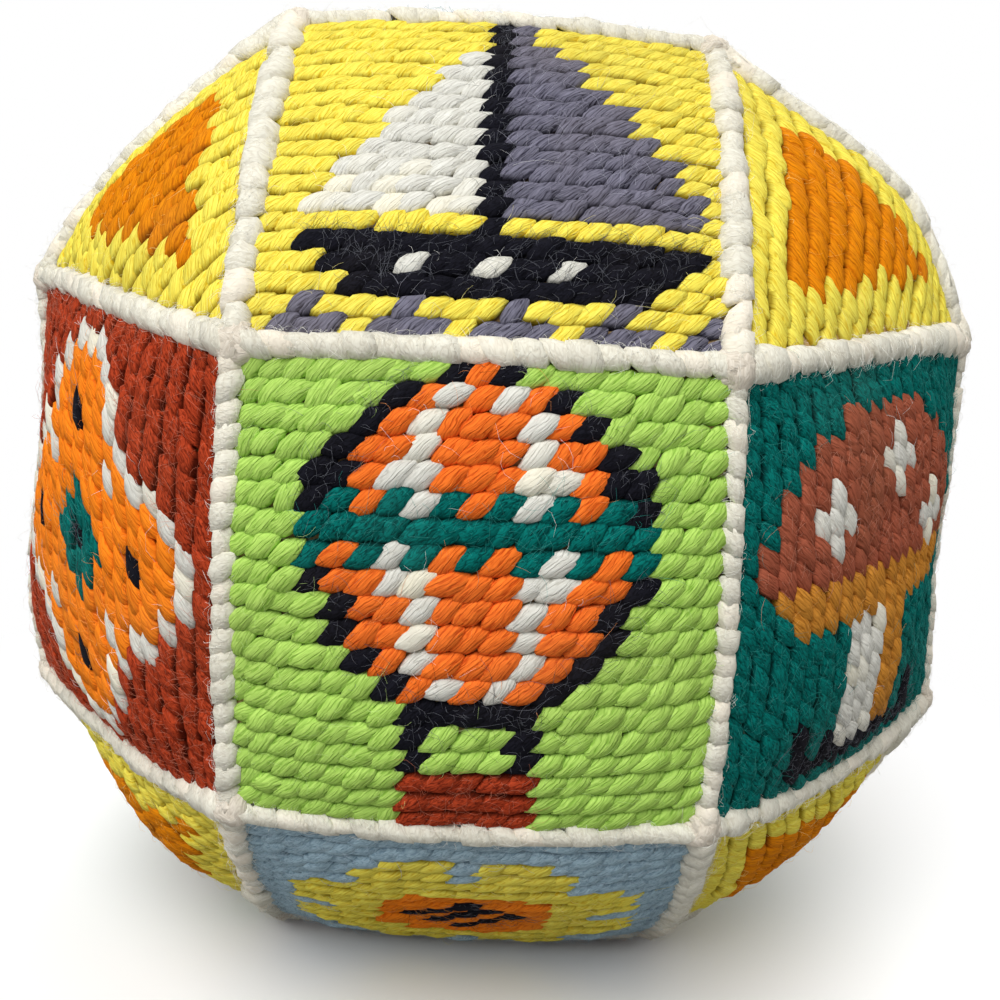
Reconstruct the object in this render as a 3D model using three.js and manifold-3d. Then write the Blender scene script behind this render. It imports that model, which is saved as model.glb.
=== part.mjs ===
// Needlepoint ball: 26 worked canvas panels, overcast together with yarn round a stuffed core.
// The panels lie on the faces of a rhombicuboctahedron: 18 squares and 8 triangles.
// Millimetres, +Z up, origin on the floor under the middle of the ball, front panel towards -Y.
import * as THREE from "three";
import { mergeGeometries, mergeVertices } from "three/addons/utils/BufferGeometryUtils.js";
import Module from "manifold-3d";

// Driving dimensions
const stitchPitch = 3.63; // one stitch, on a canvas with 7 holes to the inch
const stitchesPerSide = 19; // stitches along each side of a square panel
const panelThickness = 3.4; // canvas with the wool on both of its faces
const seamDiameter = 3.8; // roll of overcast yarn over two joined edges
const knotDiameter = 5.4; // thicker lump of yarn where four seams meet
const seamDepth = 1.0; // fold line of two panels in to the middle of their seam
const clearance = 0.3; // between a panel and its seams, and round the stuffing
const seamBow = 2.4; // how far the stuffing pushes out the middle of a seam
const squareCrown = 5.4; // middle of a square panel above the plane of its corners
const triangleCrown = 4.6; // middle of a triangle above the plane of its corners
const restStandoff = 0.7; // floor to the lowest seam, as the pressed bottom panel holds it
const restCut = 0.5; // flat that the floor presses into the bottom panel

// Roundness of a square panel's crown: the power of its fall towards the seams
const freeDome = 2; // round all over
const pressedDome = 4; // flattened in its middle by the floor

// Fineness of the surfaces
const panelSteps = 6;
const seamSteps = 4;
const seamSides = 8;
const knotSides = 8;
const knotRings = 6;
const mergeDistance = 1e-3; // points closer than this are one point

// Shares of a rhombicuboctahedron with edge 1
const farShare = (1 + Math.SQRT2) / 2; // middle to a square face
const triangleShare = (3 + Math.SQRT2) / (2 * Math.sqrt(3)); // middle to a triangle face
const edgeShare = Math.hypot(farShare, 0.5); // middle to the middle of an edge
const vertexShare = Math.hypot(edgeShare, 0.5); // middle to a corner
const squareFold = Math.PI / 4; // turn between two square faces

// Worked-out sizes
const seamRadius = seamDiameter / 2;
const knotRadius = knotDiameter / 2;
const edgeInset = (seamRadius + clearance) / Math.cos(squareFold / 2);
const panelSide = stitchesPerSide * stitchPitch;
const edge = panelSide + 2 * edgeInset;
const half = edge / 2;
const far = edge * farShare;
const knotInset = (knotRadius + clearance) / Math.cos(squareFold / 2);
const cornerPull = Math.max(0, knotInset / Math.SQRT2 - edgeInset);
const seamDrop = 1 + (seamBow - seamDepth) / (edge * edgeShare);
const bottomCrown = far * seamDrop + seamRadius - far + restStandoff + restCut;
const centreHeight = far + bottomCrown - restCut;
const coreShrink = Math.max(
  (panelThickness + clearance) / far,
  (seamDepth + seamRadius + clearance) / (edge * edgeShare),
  (seamDepth + knotRadius + clearance) / (edge * vertexShare),
);

// Wool colours
const wool = {
  lime: 0x9cc556,
  yellow: 0xefe252,
  rust: 0x91351c,
  teal: 0x075250,
  sky: 0x8fb0c4,
  cream: 0xe8e6ce,
  stuffing: 0xf2f1ea,
};

const wasm = await Module();
wasm.setup();

// Geometry with only merged positions, as one closed skin.
function closedSkin(geometry) {
  const bare = geometry.clone();
  bare.deleteAttribute("normal");
  bare.deleteAttribute("uv");
  return mergeVertices(bare, mergeDistance);
}

function toSolid(geometry) {
  const skin = closedSkin(geometry);
  return new wasm.Manifold(
    new wasm.Mesh({
      numProp: 3,
      vertProperties: skin.attributes.position.array,
      triVerts: new Uint32Array(skin.index.array),
    }),
  );
}

function fromSolid(solid) {
  const mesh = solid.getMesh();
  const geometry = new THREE.BufferGeometry();
  geometry.setAttribute("position", new THREE.BufferAttribute(mesh.vertProperties, 3));
  geometry.setIndex(new THREE.BufferAttribute(mesh.triVerts, 1));
  geometry.computeVertexNormals();
  return geometry;
}

function skinFrom(points, faces) {
  const geometry = new THREE.BufferGeometry().setFromPoints(points);
  geometry.setIndex(faces.flat());
  geometry.computeVertexNormals();
  return geometry;
}

// Plain name of a direction such as (-1, -1, 0), which is front_left.
function directionName([x, y, z]) {
  const flat = x === 0 && y === 0;
  const words = [
    { "1": flat ? "top" : "upper", "-1": flat ? "bottom" : "lower" }[z],
    { "1": "back", "-1": "front" }[y],
    { "1": "right", "-1": "left" }[x],
  ];
  return words.filter((word) => word).join("_");
}

// Every direction whose count of non-zero parts is the given one.
function directions(count) {
  const signs = [-1, 0, 1];
  const all = signs.flatMap((x) => signs.flatMap((y) => signs.map((z) => [x, y, z])));
  return all.filter((d) => d.filter((part) => part !== 0).length === count);
}

// Flat face of the polyhedron: its middle, and its axes to the right and up as seen from outside.
function faceFrame(direction, distance) {
  const normal = new THREE.Vector3(...direction).normalize();
  const level = direction[0] === 0 && direction[1] === 0;
  const right = level
    ? new THREE.Vector3(1, 0, 0)
    : new THREE.Vector3(0, 0, 1).cross(normal).normalize();
  const up = normal.clone().cross(right);
  return { normal, right, up, centre: normal.clone().multiplyScalar(distance) };
}

// How far the stuffing lifts a point of a square face, with x and y from the face's middle.
function squareSwell(crown, power) {
  return (x, y) => {
    const across = 1 - (x / half) ** 2;
    const along = 1 - (y / half) ** 2;
    const bow = seamBow * (across + along - 2 * across * along);
    const dome = (1 - Math.abs(x / half) ** power) * (1 - Math.abs(y / half) ** power);
    return bow + crown * dome;
  };
}

// The same for a triangle face, with the shares that its three corners have in the point.
function triangleSwell(corners) {
  const reach = corners[0].lengthSq();
  return (x, y) => {
    const [a, b, c] = corners.map((k) => 1 / 3 + ((2 / 3) * (x * k.x + y * k.y)) / reach);
    const seams = 4 * (a * b + b * c + c * a - 9 * a * b * c);
    return seamBow * seams + triangleCrown * 27 * a * b * c;
  };
}

function squareFace(direction) {
  const name = directionName(direction);
  const resting = name === "bottom";
  const swell = squareSwell(resting ? bottomCrown : squareCrown, resting ? pressedDome : freeDome);
  return { name, swell, ...faceFrame(direction, far) };
}

function triangleFace(direction) {
  const frame = faceFrame(direction, edge * triangleShare);
  const vertices = triangleVertices(direction);
  const corners = vertices.map((vertex) => {
    const offset = vertex.clone().sub(frame.centre);
    return new THREE.Vector2(offset.dot(frame.right), offset.dot(frame.up));
  });
  corners.sort((p, q) => p.angle() - q.angle());
  return { name: directionName(direction), swell: triangleSwell(corners), corners, ...frame };
}

function triangleVertices([x, y, z]) {
  return [
    new THREE.Vector3(x * far, y * half, z * half),
    new THREE.Vector3(x * half, y * far, z * half),
    new THREE.Vector3(x * half, y * half, z * far),
  ];
}

// Grid over a square of the given half side, with its corners drawn in by the pull.
function squarePatch(halfSide, pull) {
  const row = panelSteps + 1;
  const points = [];
  const faces = [];
  for (let j = 0; j < row; j++) {
    for (let i = 0; i < row; i++) {
      const atCorner = i % panelSteps === 0 && j % panelSteps === 0;
      const reach = atCorner ? halfSide - pull : halfSide;
      points.push([reach * ((2 * i) / panelSteps - 1), reach * ((2 * j) / panelSteps - 1)]);
    }
  }
  for (let j = 0; j < panelSteps; j++) {
    for (let i = 0; i < panelSteps; i++) {
      const [a, b] = [j * row + i, j * row + i + 1];
      const [c, d] = [b + row, a + row];
      const rising = (i + 0.5 - panelSteps / 2) * (j + 0.5 - panelSteps / 2) > 0;
      faces.push(...(rising ? [[a, b, c], [a, c, d]] : [[a, b, d], [b, c, d]]));
    }
  }
  const side = [...Array(panelSteps).keys()];
  const rim = [
    ...side.map((k) => k),
    ...side.map((k) => panelSteps + k * row),
    ...side.map((k) => row * row - 1 - k),
    ...side.map((k) => (panelSteps - k) * row),
  ];
  return { points, faces, rim };
}

// Grid over a triangle, in rows from its first corner to the side opposite.
function trianglePatch([first, second, third]) {
  const points = [];
  const faces = [];
  const start = (j) => (j * (j + 1)) / 2;
  for (let j = 0; j <= panelSteps; j++) {
    for (let i = 0; i <= j; i++) {
      const q = first.clone().multiplyScalar(1 - j / panelSteps);
      q.addScaledVector(second, (j - i) / panelSteps).addScaledVector(third, i / panelSteps);
      points.push([q.x, q.y]);
      if (j < panelSteps) faces.push([start(j) + i, start(j + 1) + i, start(j + 1) + i + 1]);
      if (i < j && j < panelSteps) {
        faces.push([start(j) + i, start(j + 1) + i + 1, start(j) + i + 1]);
      }
    }
  }
  const side = [...Array(panelSteps).keys()];
  const rim = [
    ...side.map((k) => start(k)),
    ...side.map((k) => start(panelSteps) + k),
    ...side.map((k) => start(panelSteps - k) + panelSteps - k),
  ];
  return { points, faces, rim };
}

// Point of the stuffed ball over a flat face, a depth in from the surface.
function onBall(face, [x, y], depth) {
  const flat = face.centre.clone().addScaledVector(face.right, x).addScaledVector(face.up, y);
  const outward = flat.clone().normalize();
  return flat.addScaledVector(outward, face.swell(x, y) - depth);
}

// Panel of worked canvas: crowned outer face, inner face at the panel's thickness, and its edges.
function panelGeometry(face, patch) {
  const outer = patch.points.map((point) => onBall(face, point, 0));
  const inner = patch.points.map((point) => onBall(face, point, panelThickness));
  const count = outer.length;
  const backs = patch.faces.map(([a, b, c]) => [a + count, c + count, b + count]);
  const edges = patch.rim.flatMap((a, k) => {
    const b = patch.rim[(k + 1) % patch.rim.length];
    return [[a, a + count, b + count], [a, b + count, b]];
  });
  return skinFrom([...outer, ...inner], [...patch.faces, ...backs, ...edges]);
}

// Middle line of a seam between two corners, bowed out by the stuffing and cut short at each end.
class SeamLine extends THREE.Curve {
  constructor(from, to, trim) {
    super();
    this.from = from;
    this.to = to;
    this.trim = trim / edge;
  }

  getPoint(t) {
    const share = THREE.MathUtils.lerp(this.trim, 1 - this.trim, t);
    const flat = this.from.clone().lerp(this.to, share);
    const bow = seamBow * (1 - (2 * share - 1) ** 2);
    return flat.addScaledVector(flat.clone().normalize(), bow - seamDepth);
  }
}

function seamGeometry(from, to, trim) {
  const turns = [...Array(seamSides).keys()].map((k) => (2 * Math.PI * k) / seamSides);
  const section = turns.map((turn) => {
    return new THREE.Vector2(seamRadius * Math.cos(turn), seamRadius * Math.sin(turn));
  });
  return new THREE.ExtrudeGeometry(new THREE.Shape(section), {
    steps: seamSteps,
    extrudePath: new SeamLine(from, to, trim),
  });
}

// Yarn round one triangle: three seams that run into a knot at each corner.
function triangleSeamGeometry(direction) {
  const vertices = triangleVertices(direction);
  const pieces = vertices.flatMap((vertex, k) => {
    const knot = new THREE.SphereGeometry(knotRadius, knotSides, knotRings);
    const middle = vertex.clone().setLength(vertex.length() - seamDepth);
    knot.translate(middle.x, middle.y, middle.z);
    return [knot, seamGeometry(vertex, vertices[(k + 1) % 3], 0)];
  });
  const solids = pieces.map(toSolid);
  return fromSolid(solids.reduce((joined, solid) => joined.add(solid)));
}

// Bottom panel with the flat that it rests on.
function restingGeometry(geometry) {
  const floor = new THREE.BoxGeometry(edge, edge, bottomCrown);
  floor.translate(0, 0, -centreHeight - bottomCrown / 2);
  return fromSolid(toSolid(geometry).subtract(toSolid(floor)));
}

// Stuffing that fills the ball inside its panels and seams.
function coreGeometry(faces, patchOf) {
  const skins = faces.map((face) => {
    const patch = patchOf(face);
    const points = patch.points.map((point) => {
      return onBall(face, point, 0).multiplyScalar(1 - coreShrink);
    });
    return skinFrom(points, patch.faces);
  });
  const core = closedSkin(mergeGeometries(skins));
  core.computeVertexNormals();
  return core;
}

const groundColours = {
  top: wool.teal,
  bottom: wool.rust,
  front: wool.lime,
  back: wool.lime,
  left: wool.teal,
  right: wool.rust,
  front_left: wool.rust,
  front_right: wool.teal,
  back_left: wool.yellow,
  back_right: wool.sky,
  upper_front: wool.yellow,
  upper_back: wool.sky,
  upper_left: wool.sky,
  upper_right: wool.lime,
  lower_front: wool.sky,
  lower_back: wool.yellow,
  lower_left: wool.lime,
  lower_right: wool.yellow,
};

const ball = new THREE.Group();
ball.position.z = centreHeight;

function addPiece(name, geometry, color) {
  const material = new THREE.MeshStandardMaterial({ color, roughness: 0.95, metalness: 0 });
  const mesh = new THREE.Mesh(geometry, material);
  mesh.name = name;
  ball.add(mesh);
}

const squares = [...directions(1), ...directions(2)].map(squareFace);
const triangles = directions(3).map(triangleFace);

for (const face of squares) {
  const plain = panelGeometry(face, squarePatch(panelSide / 2, cornerPull));
  const geometry = face.name === "bottom" ? restingGeometry(plain) : plain;
  addPiece(`${face.name}_panel`, geometry, groundColours[face.name]);
}

const triangleInradius = edge / (2 * Math.sqrt(3));
for (const face of triangles) {
  const inset = 1 - edgeInset / triangleInradius;
  const corners = face.corners.map((corner) => corner.clone().multiplyScalar(inset));
  addPiece(`${face.name}_triangle`, panelGeometry(face, trianglePatch(corners)), wool.yellow);
}

// A slanted square meets two squares that face along an axis, one seam each.
for (const slant of directions(2)) {
  for (const axis of [0, 1, 2].filter((k) => slant[k] !== 0)) {
    const facing = slant.map((part, k) => (k === axis ? part : 0));
    const ends = [-1, 1].map((sign) => {
      const reach = slant.map((part, k) => (part === 0 ? sign * half : part * half));
      reach[axis] = slant[axis] * far;
      return new THREE.Vector3(...reach);
    });
    const name = `${directionName(facing)}_to_${directionName(slant)}_seam`;
    addPiece(name, seamGeometry(...ends, knotRadius + clearance), wool.cream);
  }
}

for (const direction of directions(3)) {
  addPiece(`${directionName(direction)}_triangle_seam`, triangleSeamGeometry(direction), wool.cream);
}

const wholePatch = (face) => (face.corners ? trianglePatch(face.corners) : squarePatch(half, 0));
addPiece("stuffing_core", coreGeometry([...squares, ...triangles], wholePatch), wool.stuffing);

const part = new THREE.Group();
part.add(ball);
export default part;
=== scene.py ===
# %% [markdown]
# # Needlepoint ball
# A stuffed ball of 18 square and 8 triangular canvas panels, worked in wool tent stitch and joined
# with cream yarn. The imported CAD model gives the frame: where each panel, seam and the stuffing
# lie. This lesson puts the canvas, every stitch, the overcast yarn and the loose fibres in place.

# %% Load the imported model
import math

import bmesh
import bpy
import numpy as np
from mathutils import Matrix, Vector


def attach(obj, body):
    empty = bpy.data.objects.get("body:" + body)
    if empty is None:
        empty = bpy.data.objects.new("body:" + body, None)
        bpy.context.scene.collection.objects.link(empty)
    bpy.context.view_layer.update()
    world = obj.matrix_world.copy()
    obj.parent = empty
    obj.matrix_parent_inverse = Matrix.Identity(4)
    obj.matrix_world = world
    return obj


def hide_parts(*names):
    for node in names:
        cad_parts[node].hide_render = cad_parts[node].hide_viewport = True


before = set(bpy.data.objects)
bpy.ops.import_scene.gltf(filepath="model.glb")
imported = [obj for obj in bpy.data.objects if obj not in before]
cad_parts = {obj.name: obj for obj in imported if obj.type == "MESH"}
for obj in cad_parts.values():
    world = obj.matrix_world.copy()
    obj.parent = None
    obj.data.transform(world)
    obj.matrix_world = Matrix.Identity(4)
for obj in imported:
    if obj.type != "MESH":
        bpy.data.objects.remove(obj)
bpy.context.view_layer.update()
print(len(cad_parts), "solids in the frame")

# %% [markdown]
# ## Sizes
# The sizes are those of the part, in metres. A stitch is one hole of the canvas wide, 19 stitches
# make a side, and the corners of the panels lie on a rhombicuboctahedron.

# %% Sizes of the part
mm = 0.001
pitch = 3.63 * mm
per_side = 19
seam_radius = 1.9 * mm
seam_depth = 1.0 * mm
clearance = 0.3 * mm
seam_bow = 2.4 * mm
square_crown = 5.4 * mm
triangle_crown = 4.6 * mm
rest_standoff = 0.7 * mm
rest_cut = 0.5 * mm

inset = (seam_radius + clearance) / math.cos(math.pi / 8)
edge = per_side * pitch + 2 * inset
half = edge / 2
far = edge * (1 + math.sqrt(2)) / 2
triangle_far = edge * (3 + math.sqrt(2)) / (2 * math.sqrt(3))
inradius = edge / (2 * math.sqrt(3))
seam_drop = 1 + (seam_bow - seam_depth) / math.hypot(far, half)
bottom_crown = far * seam_drop + seam_radius - far + rest_standoff + rest_cut
centre_height = far + bottom_crown - rest_cut
print(f"edge {edge / mm:.2f} mm, middle of the ball {centre_height / mm:.2f} mm up")

# %% [markdown]
# ## Faces of the ball
# Each face has a middle, an axis to the right and one up as seen from outside, and a swell: how far
# the stuffing lifts a point of it. Work is made flat and then laid on the ball with these, so that
# a stitch keeps its size wherever it comes to lie. A panel rises steeply beside its seams, as a
# pillow does, and hand stuffing leaves some panels a few millimetres fuller than others.

# %% Names and swells
def direction_name(x, y, z):
    level = x == 0 and y == 0
    words = (
        {1: "top" if level else "upper", -1: "bottom" if level else "lower"}.get(z),
        {1: "back", -1: "front"}.get(y),
        {1: "right", -1: "left"}.get(x),
    )
    return "_".join(word for word in words if word)


def directions(count):
    signs = (-1, 0, 1)
    every = [(x, y, z) for x in signs for y in signs for z in signs]
    return [d for d in every if sum(part != 0 for part in d) == count]


fuller = {
    "front": 2.0, "front_left": 4.0, "front_right": 2.5, "lower_front": 1.5,
    "upper_front_left": 2.5, "upper_front_right": 1.0,
    "lower_front_left": 4.0, "lower_front_right": 3.0,
}
steepness, resting_steepness = 3, 4


def square_swell(crown, steep):
    def swell(x, y):
        across = 1 - (x / half) ** 2
        along = 1 - (y / half) ** 2
        dome = (1 - np.abs(x / half) ** steep) * (1 - np.abs(y / half) ** steep)
        return seam_bow * (across + along - 2 * across * along) + crown * dome

    return swell


def triangle_swell(crown):
    corners = ((-half, -inradius), (half, -inradius), (0, 2 * inradius))

    def swell(x, y):
        a, b, c = (1 / 3 + (x * k + y * l) / (6 * inradius**2) for k, l in corners)
        seams = 4 * (a * b + b * c + c * a - 9 * a * b * c)
        return seam_bow * seams + crown * 27 * a * b * c

    return swell


# %% Frames of the faces
def unit(vectors):
    vectors = np.asarray(vectors, float)
    return vectors / np.linalg.norm(vectors, axis=-1, keepdims=True)


def square_face(direction):
    name = direction_name(*direction)
    normal = unit(direction)
    level = direction[0] == 0 and direction[1] == 0
    right = np.array((1.0, 0.0, 0.0)) if level else unit(np.cross((0, 0, 1), normal))
    resting = name == "bottom"
    crown = bottom_crown if resting else square_crown + fuller.get(name, 0) * mm
    swell = square_swell(crown, resting_steepness if resting else steepness)
    up = np.cross(normal, right)
    return {"name": name, "right": right, "up": up, "middle": normal * far, "swell": swell}


def reach_along(axis):
    """Reach of a corner along X, Y and Z: far along one axis, half an edge along the others."""
    return np.where(np.arange(3) == axis, far, half)


def triangle_corners(direction):
    return [reach_along(axis) * direction for axis in range(3)]


def triangle_face(direction):
    corners = triangle_corners(direction)
    apex = corners.pop(1 if direction[0] < 0 else 0)
    normal = unit(direction)
    up = unit(apex - sum(corners) / 2)
    right = np.cross(up, normal)
    name = direction_name(*direction)
    swell = triangle_swell(triangle_crown + fuller.get(name, 0) * mm)
    return {"name": name, "right": right, "up": up, "middle": normal * triangle_far, "swell": swell}


# %% [markdown]
# No hand-sewn ball is true. Some corners of this one sit a few millimetres off, most of all at the
# sides of the front, and seams bow out where the ball is stuffed hard and in where it is slack.
# Everything is moved with the places near it, so that panels and seams stay joined, and what would
# sink below the floor is pressed flat on it. The moves are in millimetres: for a triangle, those of
# its corners furthest to the side, furthest to the front and furthest up or down.

# %% Corners as sewn
slack = {
    "upper_front_left": ((2.5, 0, 4.5), (0, 0, -1), (-1.6, 0, -0.8)),
    "upper_front_right": ((-3.6, 0, -0.6), (-0.7, 0, -0.3), (-0.2, 0, -1.6)),
    "lower_front_left": ((5.6, 0, -0.5), (-0.6, 0, -0.5), (-3.5, 2, 0)),
    "lower_front_right": ((1.9, 0, 4), (0.5, 0, 0), (3, 1.5, 0)),
}
sloping = 0.61 * (far - half)
seam_bulges = (
    ((half + sloping, -half, far - sloping), (5.6, 0, 5.6)),
    ((-far, -half, 0.2 * edge), (4.0, 0, 0)),
    ((-far, -half, -0.3 * edge), (-3.0, 0, 0)),
    ((far, -half, -0.15 * edge), (-4.2, 0, 0)),
)
corner_reach, bulge_reach = 0.46 * edge, 0.25 * edge
sewn_moves = [(np.array(place), np.array(move) * mm, bulge_reach) for place, move in seam_bulges]
random = np.random.default_rng(7)
for direction in directions(3):
    loose = random.normal(0, 1.0, (3, 3)) * (1, 1, direction[2] > 0)
    moves = np.array(slack.get(direction_name(*direction), loose)) * mm
    corners = triangle_corners(direction)
    sewn_moves += [(corner, move, corner_reach) for corner, move in zip(corners, moves)]


def as_sewn(points):
    """World places of points of the true ball, moved with its corners and stood on the floor."""
    moved = points.copy()
    for place, move, reach in sewn_moves:
        gap = np.linalg.norm(points - place, axis=1) / reach
        moved += np.exp(-(gap**2) / 2)[:, None] * move
    moved[:, 2] = np.maximum(moved[:, 2] + centre_height, 0)
    return moved


# %% Work laid on the ball
def lay_on_ball(face, work):
    """World places of flat work: x and y across the face, z above the ball's worked surface."""
    flat = face["middle"] + np.outer(work[:, 0], face["right"]) + np.outer(work[:, 1], face["up"])
    lift = face["swell"](work[:, 0], work[:, 1]) + work[:, 2]
    return as_sewn(flat + unit(flat) * lift[:, None])


squares = [square_face(d) for d in directions(1) + directions(2)]
triangles = [triangle_face(d) for d in directions(3)]
print(len(squares), "squares and", len(triangles), "triangles")

# %% [markdown]
# ## Camera, floor and light
# The camera stands where the photographer stood: in front, a little above, close enough for the
# near panels to look larger. The light is a big soft lamp above and in front, with an even sky.
# The background is white to the camera only, so that no extra light falls on the ball.

# %% Camera
camera_place = np.array((0, 0, centre_height)) + edge * np.array((0.04, -3.458, 0.718))
looking, overhead = (-0.0013, 0.9749, -0.2225), (-0.0545, 0.2221, 0.9735)
scene = bpy.context.scene
scene.view_settings.view_transform = "Standard"


def add_object(name, data):
    made = bpy.data.objects.new(name, data)
    scene.collection.objects.link(made)
    return made


camera = add_object("camera", bpy.data.cameras.new("camera"))
camera.data.lens = 41.76
camera.data.sensor_width = 36
scene.camera = camera
ahead = unit(looking)
sideways = unit(np.cross(ahead, overhead))
turned = np.eye(4)
turned[:3] = np.column_stack((sideways, np.cross(sideways, ahead), -ahead, camera_place))
camera.matrix_world = Matrix(turned.tolist())
print("camera at", np.round(camera_place, 3))


# %% Helpers for node trees
def node(tree, kind, inputs=None, **settings):
    made = tree.nodes.new("ShaderNode" + kind)
    for key, value in settings.items():
        setattr(made, key, value)
    for key, value in (inputs or {}).items():
        if isinstance(value, bpy.types.NodeSocket):
            tree.links.new(value, made.inputs[key])
        else:
            made.inputs[key].default_value = value
    return made


def maths(tree, operation, *values):
    return node(tree, "Math", dict(enumerate(values)), operation=operation).outputs[0]


def mixed(tree, share, low, high):
    return node(tree, "Mix", {0: share, 6: low, 7: high}, data_type="RGBA").outputs[2]


def ranged(tree, value, low, high, bottom=0.0, top=1.0, **settings):
    limits = {0: value, 1: low, 2: high, 3: bottom, 4: top}
    return node(tree, "MapRange", limits, **settings).outputs[0]


def seen_directly(tree):
    path = node(tree, "LightPath").outputs
    glossy = maths(tree, "MAXIMUM", path["Is Glossy Ray"], path["Is Transmission Ray"])
    return maths(tree, "MAXIMUM", path["Is Camera Ray"], glossy)


# %% Sky
overhead_light, level_light = 0.66, 0.2
white = (1, 1, 1, 1)
world = bpy.data.worlds.new("studio")
scene.world = world
world.use_nodes = True
tree = world.node_tree
tree.nodes.clear()
rise = node(tree, "SeparateXYZ", {0: node(tree, "TexCoord").outputs["Generated"]}).outputs["Z"]
strength = ranged(tree, rise, 0.0, 1.0, level_light, overhead_light)
lit = node(tree, "Background", {"Color": white, "Strength": strength}).outputs[0]
backdrop = node(tree, "Background", {"Color": white, "Strength": 1.0}).outputs[0]
blend = node(tree, "MixShader", {0: seen_directly(tree), 1: lit, 2: backdrop}).outputs[0]
node(tree, "OutputWorld", {"Surface": blend})

# %% Lamps
lamp_size, lamp_aim = 1.0, Vector((0, 0, 0.09))


def lamp(name, place, power):
    made = add_object(name, bpy.data.lights.new(name, "AREA"))
    made.data.shape = "DISK"
    made.data.size = lamp_size
    made.data.energy = power
    made.location = place
    made.rotation_euler = (lamp_aim - Vector(place)).to_track_quat("-Z", "Y").to_euler()
    return made


key = lamp("key lamp", (-0.3, -0.75, 1.05), 15.6)
back = lamp("back lamp", (0.35, 0.95, 0.7), 8)
print("lamps of", key.data.energy, "and", back.data.energy, "W")


# %% Floor
def new_material(name, levels=None):
    """A material with constant levels in some sockets, its node tree and its shader."""
    made = bpy.data.materials.new(name)
    made.use_nodes = True
    shader = made.node_tree.nodes["Principled BSDF"]
    for socket, level in (levels or {}).items():
        shader.inputs[socket].default_value = level
    return made, made.node_tree, shader


floor_radius, shadow_reach, white_from = 2.5, 0.07, 0.21
bounce, face_white = (0.34, 0.34, 0.34, 1), (0.97, 0.97, 0.97, 1)
bpy.ops.mesh.primitive_circle_add(vertices=96, radius=floor_radius, fill_type="NGON")
floor = bpy.context.object
floor.name = "floor"
paper, tree, _ = new_material("white paper")
tree.nodes.clear()
place = node(tree, "TexCoord").outputs["Object"]
away = node(tree, "VectorMath", {0: place}, operation="LENGTH").outputs["Value"]
fade = ranged(tree, away, shadow_reach, white_from, interpolation_type="SMOOTHSTEP")
colour = mixed(tree, node(tree, "LightPath").outputs["Is Camera Ray"], bounce, face_white)
matt = node(tree, "BsdfDiffuse", {"Color": colour}).outputs[0]
glow = node(tree, "Emission", {"Color": white, "Strength": 1.0}).outputs[0]
share = maths(tree, "MULTIPLY", fade, seen_directly(tree))
blend = node(tree, "MixShader", {0: share, 1: matt, 2: glow}).outputs[0]
node(tree, "OutputMaterial", {"Surface": blend})
floor.data.materials.append(paper)
print("floor laid")

# %% [markdown]
# ## Wool
# Tapestry wool is four plies twisted together, each of many fine fibres. A ply shows as a soft
# ridge that runs along the yarn a little aslant, which is a sine across the yarn that wanders with
# a noise. Wool that has felted with handling has lost its plies and is mottled instead. Ridges
# and fibres are painted in a lit colour of each wool and the furrows in a shaded one: painted
# highlight and painted shade over a bump, with a fibre mottle that is partly the wool's own tone.
# The material reads the yarn's own UV map, round the yarn and along it, so that it follows every
# stitch. An attribute gives each stitch its own dye, as no two lengths take the colour alike. The
# ends of a stitch are painted with shade where they go down between stitches, and a broad stain
# is wear.

# %% Colours of the wool
# each wool as a lit and a shaded colour: painted highlight on ridges, painted shade in furrows
lit_and_shaded_wools = {
    "lime": ((186, 223, 110), (118, 163, 52)),
    "yellow": ((248, 236, 100), (216, 178, 26)),
    "rust": ((186, 70, 38), (82, 16, 5)),
    "teal": ((8, 118, 110), (0, 44, 44)),
    "sky": ((172, 198, 210), (112, 138, 156)),
    "orange": ((254, 126, 46), (190, 66, 14)),
    "bright_orange": ((254, 142, 34), (206, 92, 14)),
    "amber": ((234, 142, 16), (178, 92, 4)),
    "grey": ((122, 120, 136), (30, 28, 42)),
    "black": ((26, 26, 34), (5, 5, 9)),
    "white": ((228, 227, 218), (188, 185, 174)),
    "pink_brown": ((170, 92, 68), (112, 54, 36)),
    "ochre": ((210, 142, 56), (150, 92, 26)),
    "cream": ((231, 228, 213), (207, 201, 184)),
    "worn_cream": ((229, 220, 205), (199, 188, 171)),
}
aged = {"white": (240, 232, 204), "cream": (238, 226, 208)}
felted_wools = {"rust", "teal", "sky", "black", "cream", "worn_cream"}
# where the painted shade at the ends of a stitch begins, along the yarn map from its middle
end_shade_starts = {
    "yellow": 0.23, "amber": 0.24, "rust": 0.2, "teal": 0.24,
    "sky": 0.28, "grey": 0.26, "cream": 0.5, "worn_cream": 0.5,
}
stains = {"black": 0.03, "teal": 0.08, "rust": 0.08}
usual_end_shade_start, usual_stain = 0.3, 0.2

# %% Plies and fibres
twist, ply_width = 0.26, 0.15
dye_lots = 40.0


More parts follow.
